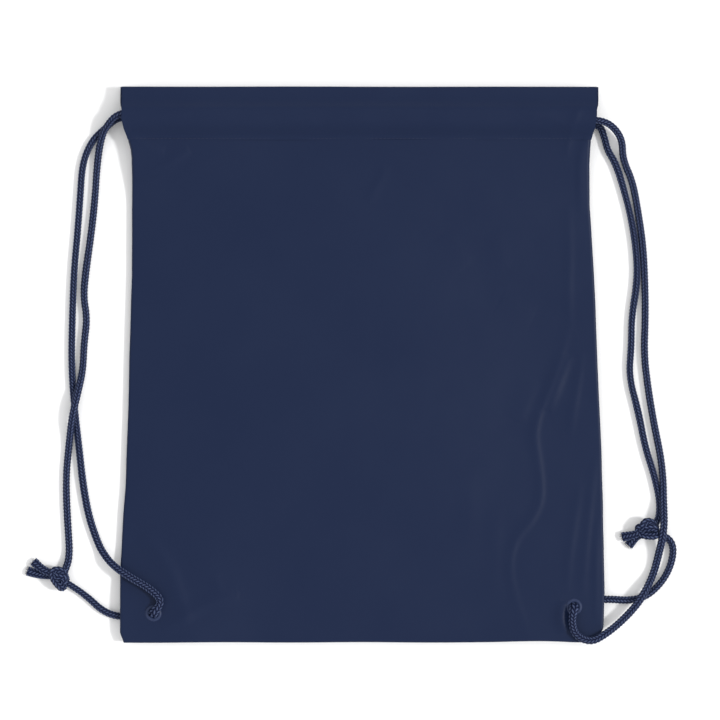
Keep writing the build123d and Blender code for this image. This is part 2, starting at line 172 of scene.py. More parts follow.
RIGHT_KNOT_STRAND = [
    (0.1640, 0.1758, 0.0036), (0.1736, 0.1762, 0.0035), (0.1770, 0.1670, 0.0025),
    (0.1794, 0.1570, 0.0025), (0.1856, 0.1470, 0.0025), (0.1912, 0.1290, 0.0025),
    (0.1966, 0.1080, 0.0025), (0.2002, 0.0860, 0.0025), (0.2014, 0.0620, 0.0025),
    (0.1970, 0.0360, 0.0025), (0.1968, 0.0140, 0.0025), (0.1950, -0.0080, 0.0025),
    (0.2020, -0.0340, 0.0025), (0.2070, -0.0600, 0.0025), (0.2132, -0.0790, 0.0025),
    (0.2166, -0.0940, 0.0025), (0.2176, -0.1050, 0.0026), (0.2164, -0.1125, 0.0038),
    (0.2130, -0.1175, 0.0054),
]
RIGHT_RETURN = [
    (0.1546, -0.1756, 0.0081), (0.1546, -0.1756, 0.0025), (0.1650, -0.1722, 0.0025),
    (0.1790, -0.1702, 0.0025), (0.1960, -0.1716, 0.0025), (0.2090, -0.1680, 0.0025),
    (0.2205, -0.1565, 0.0025), (0.2266, -0.1430, 0.0025), (0.2276, -0.1305, 0.0025),
    (0.2210, -0.1236, 0.0025), (0.2130, -0.1210, 0.0044),
]
RIGHT_TAILS = [
    [(0.2060, -0.1205, 0.0076), (0.2005, -0.1226, 0.0070), (0.1955, -0.1240, 0.0052),
     (0.1902, -0.1250, 0.0034)],
    [(0.2060, -0.1225, 0.0040), (0.2012, -0.1244, 0.0027), (0.1982, -0.1274, 0.0025),
     (0.1948, -0.1314, 0.0025)],
]
# A knot's wraps, from its centre: round the outside, underneath, and back over the middle.
KNOT_CENTRES = {"left": (-0.2199, -0.1554, 0.0062), "right": (0.2086, -0.1195, 0.0062)}
KNOT_WRAPS = {
    "left": [
        (0.0048, -0.0010, -0.0015), (0.0034, 0.0044, 0.0002), (0.0006, 0.0064, 0.0022),
        (-0.0042, 0.0064, 0.0026), (-0.0052, 0.0030, 0.0024), (-0.0036, -0.0008, 0.0030),
        (-0.0010, -0.0040, 0.0034), (0.0016, -0.0068, 0.0016), (0.0032, -0.0056, -0.0012),
        (0.0022, 0.0000, -0.0034), (-0.0020, 0.0034, -0.0032), (-0.0050, 0.0026, -0.0010),
        (-0.0028, 0.0026, 0.0028), (0.0002, 0.0014, 0.0039), (0.0034, 0.0014, 0.0032),
        (0.0038, -0.0014, 0.0028), (0.0018, -0.0030, 0.0022),
    ],
    "right": [
        (0.0060, 0.0015, -0.0020), (0.0040, 0.0046, 0.0008), (0.0002, 0.0062, 0.0022),
        (-0.0030, 0.0052, 0.0030), (-0.0036, 0.0022, 0.0036), (-0.0072, 0.0018, 0.0016),
        (-0.0068, -0.0016, 0.0004), (-0.0040, -0.0040, 0.0024), (0.0005, -0.0046, 0.0034),
        (0.0052, -0.0046, 0.0028), (0.0070, -0.0026, -0.0004), (0.0040, 0.0015, -0.0032),
        (-0.0008, 0.0044, -0.0026), (-0.0046, 0.0022, -0.0020), (-0.0030, 0.0004, 0.0026),
        (0.0008, 0.0014, 0.0039), (0.0044, 0.0016, 0.0034), (0.0064, -0.0002, 0.0010),
    ],
}
LOOP_ROWS = {"left": (0.1840, 0.1816), "right": (0.1782, 0.1758)}
LOOP_NEAR_X, LOOP_FAR_X = 0.1640, 0.1685
FRONT_TUNNEL_Z, BACK_TUNNEL_Z = 0.0156, 0.0036

# ---------------------------------------------------------------- folds of the front cloth
# (points along the crest, half width, height, lean: above 0 the side to its left is the gentler one)
FOLDS = [
    # along the hem's ridge, bending down where the cords come out
    ([(-0.170, 0.166), (-0.158, 0.174), (-0.140, 0.183), (-0.110, 0.1865), (-0.060, 0.1855),
      (0.020, 0.1868), (0.090, 0.1856), (0.130, 0.1825), (0.150, 0.174), (0.158, 0.164)],
     0.0036, 0.0006, 0.2),
    # the long crease on the right
    ([(0.152, 0.030), (0.147, 0.010), (0.139, -0.012), (0.130, -0.034), (0.1265, -0.050),
      (0.129, -0.066), (0.1315, -0.085), (0.131, -0.100), (0.124, -0.114), (0.1145, -0.124),
      (0.1095, -0.136), (0.1085, -0.150), (0.1125, -0.168), (0.117, -0.182), (0.123, -0.199)],
     0.0036, 0.0006, -0.4),
    ([(0.152, 0.008), (0.144, -0.012), (0.136, -0.034)], 0.0055, 0.0008, -0.4),
    ([(0.128, -0.010), (0.120, -0.028), (0.114, -0.042)], 0.0070, 0.0004, -0.4),
    ([(0.151, 0.118), (0.1525, 0.085), (0.151, 0.050), (0.1525, 0.024)], 0.0034, 0.0004, -0.3),
    ([(0.161, 0.010), (0.157, -0.020), (0.152, -0.052)], 0.0034, 0.0004, -0.3),
    ([(0.060, 0.096), (0.068, 0.084), (0.078, 0.072)], 0.0100, 0.0003, -0.3),
    ([(0.098, 0.098), (0.102, 0.084), (0.104, 0.068)], 0.0080, 0.0003, -0.3),
    ([(0.100, 0.048), (0.112, 0.042), (0.126, 0.036)], 0.0090, 0.0003, -0.3),
    # above the right eyelet
    ([(0.160, -0.084), (0.156, -0.112), (0.151, -0.142), (0.150, -0.168)], 0.0034, 0.0004, -0.3),
    ([(0.171, -0.066), (0.167, -0.100), (0.163, -0.142), (0.161, -0.170)], 0.0030, 0.0004, -0.3),
    ([(0.172, -0.110), (0.170, -0.150), (0.171, -0.190)], 0.0024, 0.0004, 0.0),
    ([(0.1480, -0.171), (0.1455, -0.179), (0.1455, -0.188), (0.1500, -0.195)], 0.0040, 0.0019, -0.1),
    # lower middle
    ([(0.100, -0.095), (0.096, -0.130), (0.099, -0.170)], 0.0060, 0.0003, -0.2),
    ([(0.080, -0.070), (0.078, -0.100), (0.079, -0.130)], 0.0080, 0.0003, -0.2),
    # round the left eyelet
    ([(-0.146, -0.192), (-0.134, -0.187), (-0.120, -0.178), (-0.104, -0.171), (-0.088, -0.168)],
     0.0048, 0.0008, 0.3),
    ([(-0.160, -0.122), (-0.146, -0.136), (-0.134, -0.158), (-0.126, -0.190)], 0.0060, 0.0008, -0.2),
    ([(-0.108, -0.150), (-0.102, -0.166)], 0.0040, 0.0003, 0.0),
    # under the hem
    ([(-0.166, 0.136), (-0.150, 0.140), (-0.136, 0.148), (-0.124, 0.157)], 0.0046, 0.0010, 0.4),
    ([(-0.170, 0.168), (-0.156, 0.158), (-0.142, 0.156)], 0.0042, 0.0006, -0.2),
    ([(0.018, 0.146), (0.013, 0.132), (0.004, 0.118)], 0.0040, 0.0004, 0.0),
    ([(0.168, 0.176), (0.160, 0.160), (0.158, 0.136), (0.160, 0.110)], 0.0034, 0.0005, 0.3),
    ([(0.162, 0.192), (0.152, 0.176), (0.149, 0.150)], 0.0030, 0.0004, -0.3),
]


# ---------------------------------------------------------------- meshes
def mesh_object(name, points, faces):
    """A smooth-shaded object from points and faces."""
    mesh = bpy.data.meshes.new(name)
    mesh.from_pydata([tuple(p) for p in points], [], faces)
    mesh.polygons.foreach_set("use_smooth", [True] * len(mesh.polygons))
    mesh.update()
    obj = bpy.data.objects.new(name, mesh)
    bpy.context.scene.collection.objects.link(obj)
    return obj


def set_uv(obj, coordinates):
    """Gives each corner of obj its vertex's own pair of coordinates."""
    layer = obj.data.uv_layers.new(name="UVMap")
    corners = np.zeros(len(obj.data.loops), np.int32)
    obj.data.loops.foreach_get("vertex_index", corners)
    layer.data.foreach_set("uv", np.asarray(coordinates, np.float32)[corners].ravel())


def bake_modifiers(obj):
    """Replaces obj's mesh with what its modifiers make of it."""
    depsgraph = bpy.context.evaluated_depsgraph_get()
    final = bpy.data.meshes.new_from_object(obj.evaluated_get(depsgraph))
    obj.modifiers.clear()
    obj.data = final
    return obj


def sharpen(obj):
    """Keeps the shading of a ply's face apart from that of its rim."""
    obj.data.set_sharp_from_angle(angle=math.radians(50.0))


def spline_line(route, spacing):
    """Evenly spaced points along the NURBS spline whose control points are the route."""
    curve = bpy.data.curves.new("route", "CURVE")
    curve.dimensions = "3D"
    curve.resolution_u = 32
    spline = curve.splines.new("NURBS")
    spline.points.add(len(route) - 1)
    for point, place in zip(spline.points, route):
        point.co = (*place, 1.0)
    spline.order_u = 3
    spline.use_endpoint_u = True
    holder = bpy.data.objects.new("route", curve)
    mesh = bpy.data.meshes.new_from_object(holder)
    line = np.array([v.co for v in mesh.vertices], float)
    bpy.data.objects.remove(holder)
    bpy.data.curves.remove(curve)
    bpy.data.meshes.remove(mesh)
    steps = np.linalg.norm(np.diff(line, axis=0), axis=1)
    line = line[np.append(True, steps > 1e-9)]
    reached = np.append(0.0, np.cumsum(np.linalg.norm(np.diff(line, axis=0), axis=1)))
    count = max(2, round(reached[-1] / spacing))
    places = np.linspace(0.0, reached[-1], count + 1)
    return np.stack([np.interp(places, reached, line[:, k]) for k in range(3)], axis=1), places


def frames_along(line):
    """Two unit vectors square to the line at each point, carried along it without twist."""
    tangents = np.gradient(line, axis=0)
    tangents /= np.linalg.norm(tangents, axis=1)[:, None]
    sides = np.zeros_like(line)
    start = np.cross(tangents[0], (0.0, 0.0, 1.0))
    side = start if np.linalg.norm(start) > 0.1 else np.array([0.0, 1.0, 0.0])
    for index, tangent in enumerate(tangents):
        side = side - (side @ tangent) * tangent
        side = side / np.linalg.norm(side)
        sides[index] = side
    return sides, np.cross(sides, tangents)


def braid(angle, along):
    """A braid's height, and its painted light: painted shade in the gaps and painted highlights on the
    crowns, each 0 in the gaps and 1 on the crowns.

    Each strand passes over two of the other hand and under two, so its floats lie in herringbone rows.
    """
    right = BRAID_STRANDS * (angle / math.tau + along / BRAID_PITCH) - 0.25
    left = BRAID_STRANDS * (angle / math.tau - along / BRAID_PITCH) - 0.25
    lift = np.sin(0.5 * math.pi * np.mod(right + left + 0.5, 4.0))
    one, other = (
        (1.0 - (2.0 * (across - np.round(across))) ** 2) * np.clip(hand * lift, 0.0, 1.0) ** 0.5
        for across, hand in ((right, 1.0), (left, -1.0))
    )
    # The strands of one hand lie more towards the light and look paler.
    return np.maximum(one, other), np.maximum(one, PAINTED_HAND_LIGHT * other) ** CROWN_HIGHLIGHT_POWER


def tube(name, line, along, radius, segments, relief=0.0, flare=None):
    """A closed tube round a line. flare, if given, is each point's factors of width and of height."""
    sides, ups = frames_along(line)
    angles = np.arange(segments) * math.tau / segments
    angle = np.tile(angles, (len(line), 1))
    distance = np.tile(along[:, None], (1, segments))
    plain = np.ones_like(angle)
    height, tone = braid(angle, distance) if relief else (plain, plain)
    reach = radius - relief * (1.0 - height)
    wide, high = (np.ones(len(line)), np.ones(len(line))) if flare is None else flare
    out = (
        sides[:, None] * (np.cos(angle) * reach * wide[:, None])[..., None]
        + ups[:, None] * (np.sin(angle) * reach * high[:, None])[..., None]
    )
    points = (line[:, None] + out).reshape(-1, 3)
    points = np.concatenate([points, line[:1], line[-1:]])
    points[:, 2] = np.maximum(points[:, 2], 0.0)
    faces = []
    for ring in range(len(line) - 1):
        low, high_ring = ring * segments, (ring + 1) * segments
        for k in range(segments):
            n = (k + 1) % segments
            faces.append((low + k, low + n, high_ring + n, high_ring + k))
    first, last = len(points) - 2, len(points) - 1
    base = (len(line) - 1) * segments
    for k in range(segments):
        n = (k + 1) % segments
        faces.append((first, n, k))
        faces.append((last, base + k, base + n))
    obj = mesh_object(name, points, faces)
    girth = np.concatenate([(angle * radius).ravel(), [0.0, 0.0]])
    length = np.concatenate([distance.ravel(), [along[0], along[-1]]])
    set_uv(obj, np.stack([girth, length], axis=1))
    # Painted light for the cord's colour: painted shade in the braid's gaps and painted highlights on its
    # crowns.
    attribute = obj.data.attributes.new("tone", "FLOAT", "POINT")
    attribute.data.foreach_set("value", np.append(tone.ravel(), [0.5, 0.5]).astype(np.float32))
    return obj


def cord_piece(name, route, radius=CORD_RADIUS, flare=None):
    """A braided cord along a route. Returns it and the points of its spline."""
    line, along = spline_line(route, RING_SPACING)
    shape = slackness(along) if flare is None else flare(along / along[-1])
    obj = tube(name, line, along, radius, RING_SEGMENTS, BRAID_RELIEF, shape)
    obj.data.materials.append(CORD_MATERIAL)
    return obj, line


# ---------------------------------------------------------------- materials
def new_material(name):
    """A node material, its tree and its Principled shader."""
    material = bpy.data.materials.new(name)
    material.use_nodes = True
    tree = material.node_tree
    tree.nodes.clear()
    output = tree.nodes.new("ShaderNodeOutputMaterial")
    shader = tree.nodes.new("ShaderNodeBsdfPrincipled")
    tree.links.new(shader.outputs["BSDF"], output.inputs["Surface"])
    return material, tree, shader


def set_inputs(tree, made, inputs):
    """Links a node's inputs to sockets, or sets them to values."""
    for key, value in inputs.items():
        if isinstance(value, bpy.types.NodeSocket):
            tree.links.new(value, made.inputs[key])
        else:
            made.inputs[key].default_value = value


def node(tree, kind, inputs, **settings):
    """A node of that kind, with its settings and inputs."""
    made = tree.nodes.new(kind)
    for key, value in settings.items():
        setattr(made, key, value)
    set_inputs(tree, made, inputs)
    return made


def math_node(tree, operation, *values):
    return node(tree, "ShaderNodeMath", dict(enumerate(values)), operation=operation).outputs[0]


def surface_place(tree, kind):
    return node(tree, "ShaderNodeTexCoord", {}).outputs[kind]


def noise_node(tree, place, scale, detail, roughness=0.5):
    inputs = {"Vector": place, "Scale": scale, "Detail": detail, "Roughness": roughness}
    return node(tree, "ShaderNodeTexNoise", inputs).outputs["Fac"]


def bump(tree, height, strength, distance, **under):
    """A normal from a height. Normal=, if given, is the one that it adds to."""
    inputs = {"Height": height, "Strength": strength, "Distance": distance, **under}
    return node(tree, "ShaderNodeBump", inputs).outputs["Normal"]


def ramp(tree, factor, low, high, low_at=0.0, high_at=1.0):
    """A colour that goes from low to high as factor does."""
    made = node(tree, "ShaderNodeValToRGB", {0: factor})
    for element, colour, place in zip(made.color_ramp.elements, (low, high), (low_at, high_at)):
        element.position = place
        element.color = (*colour, 1.0)
    return made.outputs["Color"]


def fabric_material():
    """Navy plain-woven polyester, matt with a slight sheen."""
    material, tree, shader = new_material("navy_polyester")
    uv = surface_place(tree, "UV")
    split = node(tree, "ShaderNodeSeparateXYZ", {0: uv})
    warp, weft = (
        math_node(tree, "SINE", math_node(tree, "MULTIPLY", split.outputs[axis], math.tau / WEAVE_PITCH))
        for axis in ("X", "Y")
    )
    weave = math_node(tree, "MULTIPLY", warp, weft)
    cloud = noise_node(tree, uv, 14.0, 3.0)
    slub = noise_node(tree, uv, 420.0, 2.0, 0.6)
    crease = noise_node(tree, uv, 60.0, 4.0, 0.55)
    shade = math_node(tree, "MULTIPLY_ADD", weave, 0.10, cloud)
    shade = math_node(tree, "MULTIPLY_ADD", slub, 0.35, shade)
    threads = bump(tree, weave, 0.10, 0.0001)
    set_inputs(tree, shader, {
        "Base Color": ramp(tree, shade, (0.0041, 0.0115, 0.0420), (0.0056, 0.0135, 0.0448), 0.40, 0.95),
        "Roughness": math_node(tree, "MULTIPLY_ADD", cloud, 0.16, 0.36),
        "Normal": bump(tree, crease, 0.20, 0.0006, Normal=threads),
        "Specular IOR Level": 0.16,
        "Sheen Weight": 0.012,
        "Sheen Roughness": 0.4,
    })
    return material


def cord_material():
    """Braided navy polyester, with painted shade between the strands and painted highlights on their
    crowns, and fine filaments.
    """
    material, tree, shader = new_material("navy_braid")
    # The braid's painted shade and highlights, stored on the cord's points, with the filaments' own fine
    # marks added.
    tone = node(tree, "ShaderNodeAttribute", {}, attribute_name="tone").outputs["Fac"]
    filament = noise_node(tree, surface_place(tree, "UV"), 700.0, 3.0, 0.7)
    shade = math_node(tree, "MULTIPLY_ADD", filament, 0.4, tone)
    set_inputs(tree, shader, {
        "Base Color": ramp(tree, shade, (0.0006, 0.0035, 0.0230), (0.0690, 0.0910, 0.1740), 0.28),
        "Roughness": 0.55,
        "Normal": bump(tree, filament, 0.5, 0.0002),
        "Specular IOR Level": 0.10,
        "Sheen Weight": 0.01,
    })
    return material


def thread_material():
    """Twisted sewing thread, a shade off the cloth."""
    material, tree, shader = new_material("navy_thread")
    twist = noise_node(tree, surface_place(tree, "Object"), 2500.0, 2.0)
    set_inputs(tree, shader, {
        "Base Color": ramp(tree, twist, (0.0060, 0.0115, 0.0380), (0.0120, 0.0200, 0.0580), 0.3, 0.7),
        "Roughness": 0.5,
        "Normal": bump(tree, twist, 0.3, 0.0001),
        "Specular IOR Level": 0.3,
    })
    return material


def eyelet_material():
    """Navy lacquer over brass, with faint scuffs."""
    material, tree, shader = new_material("navy_lacquer")
    scuff = noise_node(tree, surface_place(tree, "Object"), 900.0, 3.0, 0.6)
    rough = node(tree, "ShaderNodeMapRange", {"Value": scuff, "To Min": 0.38, "To Max": 0.55})
    set_inputs(tree, shader, {
        "Base Color": ramp(tree, scuff, (0.0150, 0.0250, 0.0680), (0.0240, 0.0370, 0.0900), 0.35, 0.75),
        "Roughness": rough.outputs[0],
        "Normal": bump(tree, scuff, 0.08, 0.0001),
        "Specular IOR Level": 0.20,
        "Coat Weight": 0.05,
        "Coat Roughness": 0.35,
    })
    return material


def floor_material():
    """White paper with the slightest tone."""
    material, tree, shader = new_material("white_paper")
    grain = noise_node(tree, surface_place(tree, "Object"), 6.0, 2.0)
    set_inputs(tree, shader, {
        "Base Color": ramp(tree, grain, (0.925, 0.925, 0.930), (0.940, 0.940, 0.942)),
        "Roughness": 1.0,
        "Specular IOR Level": 0.0,
    })
    return material


FABRIC_MATERIAL = fabric_material()
CORD_MATERIAL = cord_material()
THREAD_MATERIAL = thread_material()
EYELET_MATERIAL = eyelet_material()


# ---------------------------------------------------------------- stage
def build_stage():
    """A white floor and white surroundings, one soft light from the right, and the camera overhead."""
    bpy.ops.mesh.primitive_plane_add(size=6.0, location=(0.0, 0.0, 0.0))
    floor = bpy.context.object
    floor.name = "floor"
    floor.data.materials.append(floor_material())

    world = bpy.data.worlds.new("studio")
    bpy.context.scene.world = world
    world.use_nodes = True
    background = world.node_tree.nodes["Background"]
    background.inputs["Color"].default_value = (1.0, 1.0, 1.0, 1.0)
    background.inputs["Strength"].default_value = 0.98

    light = bpy.data.lights.new("key", "SUN")
    light.energy = 1.75
    light.angle = math.radians(8.0)
    key = bpy.data.objects.new("key", light)
    key.location = (1.0, -0.07, 1.04)
    key.rotation_euler = (-key.location).to_track_quat("-Z", "Y").to_euler()
    bpy.context.scene.collection.objects.link(key)

    camera = bpy.data.cameras.new("camera")
    camera.lens = 200.0
    camera.sensor_width = 36.0
    view = bpy.data.objects.new("camera", camera)
    view.location = (-0.0011, 0.0040, 2.920)
    bpy.context.scene.collection.objects.link(view)
    bpy.context.scene.camera = view
    bpy.context.scene.view_settings.view_transform = "Standard"


# ---------------------------------------------------------------- cords
def blend_strand(obj):
    """Bakes a shoulder strand's placement into its mesh."""
    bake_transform(obj)


def channel_loop(side):
    """The part of a cord inside the casings, from its own end of the mouth round the far one and back."""
    front_y, back_y = LOOP_ROWS[side]
    across = np.linspace(SIDES[side] * LOOP_NEAR_X, -SIDES[side] * LOOP_FAR_X, LOOP_STEPS + 1)
    front = [(x, front_y, FRONT_TUNNEL_Z) for x in across]
    back = [(x, back_y, BACK_TUNNEL_Z) for x in across[::-1]]
    line, along = spline_line(front + back, LOOP_RING_SPACING)
    obj = tube(f"{side}_channel_loop", line, along, 0.5 * CORD_DIAMETER, LOOP_SEGMENTS, BRAID_RELIEF)
    obj.data.materials.append(CORD_MATERIAL)
    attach(obj, f"{side}_drawcord")
    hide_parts(f"{side}_cord_channel_loop")


def knot_piece(side):
    """A knot's wraps: a cord wound round the two strands that pass through."""
    centre = KNOT_CENTRES[side]
    route = [tuple(a + b for a, b in zip(centre, step)) for step in KNOT_WRAPS[side]]
    obj, _ = cord_piece(f"{side}_knot_wraps", route, KNOT_CORD_RADIUS)
    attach(obj, "bag")
    return obj


def slackness(along):
    """A limp cord is a little wider and flatter in some places than in others."""
    swell = 0.035 * np.sin(along * 61.0) + 0.025 * np.sin(along * 143.0 + 1.3)
    return 1.0 + swell, 1.0 - 0.5 * swell


def eyelet_flare(share):
    """The cord fills its eyelet, and the part near it is slack and flattened."""
    fill = 0.30 * smooth_step(0.975, 0.995, share)
    slack = 0.09 * smooth_step(0.60, 0.72, share)
    return 1.0 + slack * (1.0 - fill) + fill, 1.0 + fill


def tail_flare(share):
    """A tail widens and flattens towards its cut end."""
    return 1.02 + 0.38 * share ** 2, 1.0 - 0.35 * share ** 2


def fray(name, route, seed):
    """Loose filaments at a tail's cut end, each a thin spike rooted a little inside it."""
    half_width, half_height, sunk = CORD_RADIUS, 0.0015, 0.0012
    line, _ = spline_line(route, 0.0005)
    end, direction = Vector(line[-1]), Vector(line[-1] - line[-3]).normalized()
    side = direction.cross(Vector((0.0, 0.0, 1.0))).normalized()
    up = side.cross(direction)
    random = np.random.default_rng(seed)
    points, faces = [], []
    for _ in range(FILAMENT_COUNT):
        angle = random.uniform(0.0, math.tau)
        spread = math.sqrt(random.uniform(0.0, 1.0))
        outward, upward = math.cos(angle) * spread, math.sin(angle) * spread
        root = end + side * (outward * half_width) + up * (upward * half_height) - direction * sunk
        aim = direction + side * (0.45 * outward) + up * (0.25 * upward)
        tip = root + aim.normalized() * random.uniform(0.0016, 0.0036)
        tip.z = max(tip.z, 0.0003)
        base = len(points)
        for turn in (0.0, math.tau / 3.0, math.tau * 2.0 / 3.0):
            points.append(root + side * (math.cos(turn) * FILAMENT_RADIUS)
                          + up * (math.sin(turn) * FILAMENT_RADIUS))
        points.append(tip)
        for corners in ((0, 1, 3), (1, 2, 3), (2, 0, 3), (2, 1, 0)):
            faces.append(tuple(base + corner for corner in corners))
    return mesh_object(name, points, faces)


def join(objects):
    """One object from several; the first one's name is kept."""
    bpy.ops.object.select_all(action="DESELECT")
    for obj in objects:
        obj.select_set(True)
    bpy.context.view_layer.objects.active = objects[0]
    bpy.ops.object.join()
    return objects[0]


def tail_piece(side, index, route):
    """A tail past the knot, with its frayed end."""
    tail, _ = cord_piece(f"{side}_tail_{index}", route, CORD_RADIUS, tail_flare)
    tuft = fray(f"{side}_fray_{index}", route, seed=index + len(side))
    tuft.data.materials.append(CORD_MATERIAL)
    return join([tail, tuft])


def build_cord(side, knot_route, eyelet_route, return_route, tail_routes):
    """One side's cord: two strands, the return under the pouch, the knot and its tails."""
    wraps = knot_piece(side)
    ends = (knot_route[-1], return_route[-1])
    tails = [
        tail_piece(side, index, [inner, *route])
        for index, (route, inner) in enumerate(zip(tail_routes, ends), start=1)
    ]
    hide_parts(f"{side}_knot")
    for tail in tails:
        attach(tail, "bag")
        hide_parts(f"{side}_knot_tails")

    knot_strand, knot_line = cord_piece(f"{side}_knot_strand", knot_route)
    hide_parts(f"{side}_cord_knot_strand", f"{side}_cord_knot_lead")
    eyelet_strand, eyelet_line = cord_piece(f"{side}_eyelet_strand", eyelet_route, flare=eyelet_flare)
    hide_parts(f"{side}_cord_eyelet_strand", f"{side}_cord_eyelet_run")
    returning, return_line = cord_piece(f"{side}_return", return_route)
    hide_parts(f"{side}_cord_return")
    blend_strand(knot_strand)
    blend_strand(eyelet_strand)
    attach(returning, "bag")


# ---------------------------------------------------------------- cloth
def edge_distance(side, y):
    """How far the cloth's edge is from the middle, at each height y."""
    outline = np.array(LEFT_EDGE if side == "left" else RIGHT_EDGE)
    return np.interp(y, outline[:, 0], outline[:, 1])


def smooth_step(low, high, value):
    share = np.clip((value - low) / (high - low), 0.0, 1.0)
    return share * share * (3.0 - 2.0 * share)


def columns(span):
    """Shares of the way across a span, from 0 at its edge, where they are closer together, to 1."""
    near = np.array([0.0, 0.00025, 0.0006, 0.0011, 0.0017, 0.0025, 0.0035, 0.0048])
    rest = np.arange(0.0062, span - 0.4 * CELL, CELL)
    return np.concatenate([near, rest, [span]]) / span


def fold_relief(x, y):
    """Height that the folds add at each point."""
    height = np.zeros_like(x)
    flat = np.stack([x.ravel(), y.ravel()], axis=1)
    for crest, width, rise, lean in FOLDS:
        line, along = spline_line([(*point, 0.0) for point in crest], 0.003)
        line = line[:, :2]
        tangents = np.gradient(line, axis=0)
        tangents /= np.linalg.norm(tangents, axis=1)[:, None]
        low, high = line.min(0) - 4.0 * width, line.max(0) + 4.0 * width
        near = np.flatnonzero(np.all((flat > low) & (flat < high), axis=1))
        if not len(near):
            continue
        offset = flat[near][:, None] - line[None]
        distance = np.linalg.norm(offset, axis=2)
        closest = distance.argmin(axis=1)
        rows = np.arange(len(near))
        gap, reach = offset[rows, closest], distance[rows, closest]
        direction = tangents[closest]
        signed = np.sign(direction[:, 0] * gap[:, 1] - direction[:, 1] * gap[:, 0])
        spread = width * (1.0 + lean * signed)
        taper = np.sin(np.pi * np.clip(along[closest] / along[-1], 0.0, 1.0)) ** 0.6
        height.ravel()[near] += rise * taper * np.exp(-((reach / spread) ** 2))
    return height


def undulation(x, y, scale, seed):
    """Gentle unevenness between -1 and 1."""
    values = [noise.noise(Vector((a * scale, b * scale, seed))) for a, b in zip(x.ravel(), y.ravel())]
    return np.array(values).reshape(x.shape)


def pouch_depth(side, x, y, full_inset):
    """0 at the flat rim by the seams, 1 where the pouch has its full depth."""
    from_side = edge_distance(side, y) - np.abs(x)
    from_bottom = y - BOTTOM_Y
    a, b = np.clip(full_inset - from_side, 0.0, None), np.clip(full_inset - from_bottom, 0.0, None)
    depth = smooth_step(SHELF_INSET, full_inset, full_inset - np.hypot(a, b))
    return depth + (1.0 - depth) * smooth_step(0.120, HEM_Y, y)


def rim_sag(side, x, y):
    """How far the seams hang below the eyelets' height: not at the corners, nor at the mouth."""
    from_side = (edge_distance(side, y) - np.abs(x)) / SAG_REACH
    from_bottom = (y - BOTTOM_Y) / SAG_REACH
    along_side = smooth_step(-0.176, -0.128, y) * (1.0 - smooth_step(0.115, 0.156, y))
    along_bottom = 1.0 - smooth_step(0.070, 0.130, np.abs(x))
    at_side = along_side * (1.0 - np.clip(from_side, 0.0, 1.0)) ** 2
    at_bottom = along_bottom * (1.0 - np.clip(from_bottom, 0.0, 1.0)) ** 2
    return SAG[side] * at_side + SAG["bottom"] * at_bottom


def edge_drop(side, x, y):
    """0 away from the seams, 1 on them, rounded like a folded edge."""
    from_side = edge_distance(side, y) - np.abs(x)
    from_bottom = y - y.min()
    inset = np.clip(np.minimum(from_side, from_bottom) / EDGE_RADIUS, 0.0, 1.0)
    return 1.0 - np.sqrt(np.clip(1.0 - (1.0 - inset) ** 2, 0.0, 1.0))


def front_height(side, x, y):
    """Outer surface of the front cloth, below the hem."""
    depth = pouch_depth(side, x, y, FRONT_INSET)
    height = FRONT_SHELF_Z + (FRONT_TOP_Z - FRONT_SHELF_Z) * depth
    height += fold_relief(x, y)
    height += 0.0009 * undulation(x, y, 9.0, 3.1) * depth + 0.00012 * undulation(x, y, 55.0, 8.4)
    drop = edge_drop(side, x, y)
    return height * (1.0 - drop) + SEAM_Z * drop - rim_sag(side, x, y)


def back_height(side, x, y):
    """Outer surface of the back cloth, below the hem."""
    depth = pouch_depth(side, x, y, POUCH_INSET)
    height = BACK_SHELF_Z + (BACK_LOW_Z - BACK_SHELF_Z) * depth
    height += 0.0006 * np.clip(undulation(x, y, 14.0, 21.7), 0.0, 1.0)
    drop = edge_drop(side, x, y)
    height = height * (1.0 - drop) + BACK_SEAM_Z * drop
    return height - rim_sag(side, x, y) * (1.0 - depth)


def cloth_object(name, points, facing, keep=None):
    """A ply of cloth from a grid of points, thickened inwards. It faces up if facing is 1, down if -1."""
    rows, cols = points.shape[:2]
    index = np.arange(rows * cols).reshape(rows, cols)
    quads = np.stack([index[:-1, :-1], index[:-1, 1:], index[1:, 1:], index[1:, :-1]], axis=2)
    kept = np.ones(quads.shape[:2], bool) if keep is None else keep
    faces = quads[kept]
    flat = points.reshape(-1, 3)
    used = np.unique(faces)
    renumber = np.zeros(len(flat), int)
    renumber[used] = np.arange(len(used))
    faces = renumber[faces]
    a, b, c = (flat[used][faces[:, k]] for k in range(3))
    upward = np.cross(b - a, c - a)[:, 2].sum() > 0
    if upward != (facing > 0.0):
        faces = faces[:, ::-1]
    obj = mesh_object(name, flat[used], faces.tolist())
    solid = obj.modifiers.new("ply", "SOLIDIFY")
    solid.thickness = CLOTH
    solid.offset = -1.0
    bake_modifiers(obj)
    sharpen(obj)
    places = np.array([v.co for v in obj.data.vertices])
    set_uv(obj, places[:, :2])
    obj.data.materials.append(FABRIC_MATERIAL)
    return obj


def blend_cloth(obj):
    """Bakes a piece's placement into its mesh."""
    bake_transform(obj)


def edge_lift(x):
    """How far the lower edge bows up, most of all beside the right eyelet."""
    return 0.0011 * np.exp(-(((x - 0.132) / 0.026) ** 2)) + 0.0002 * np.cos(60.0 * x)


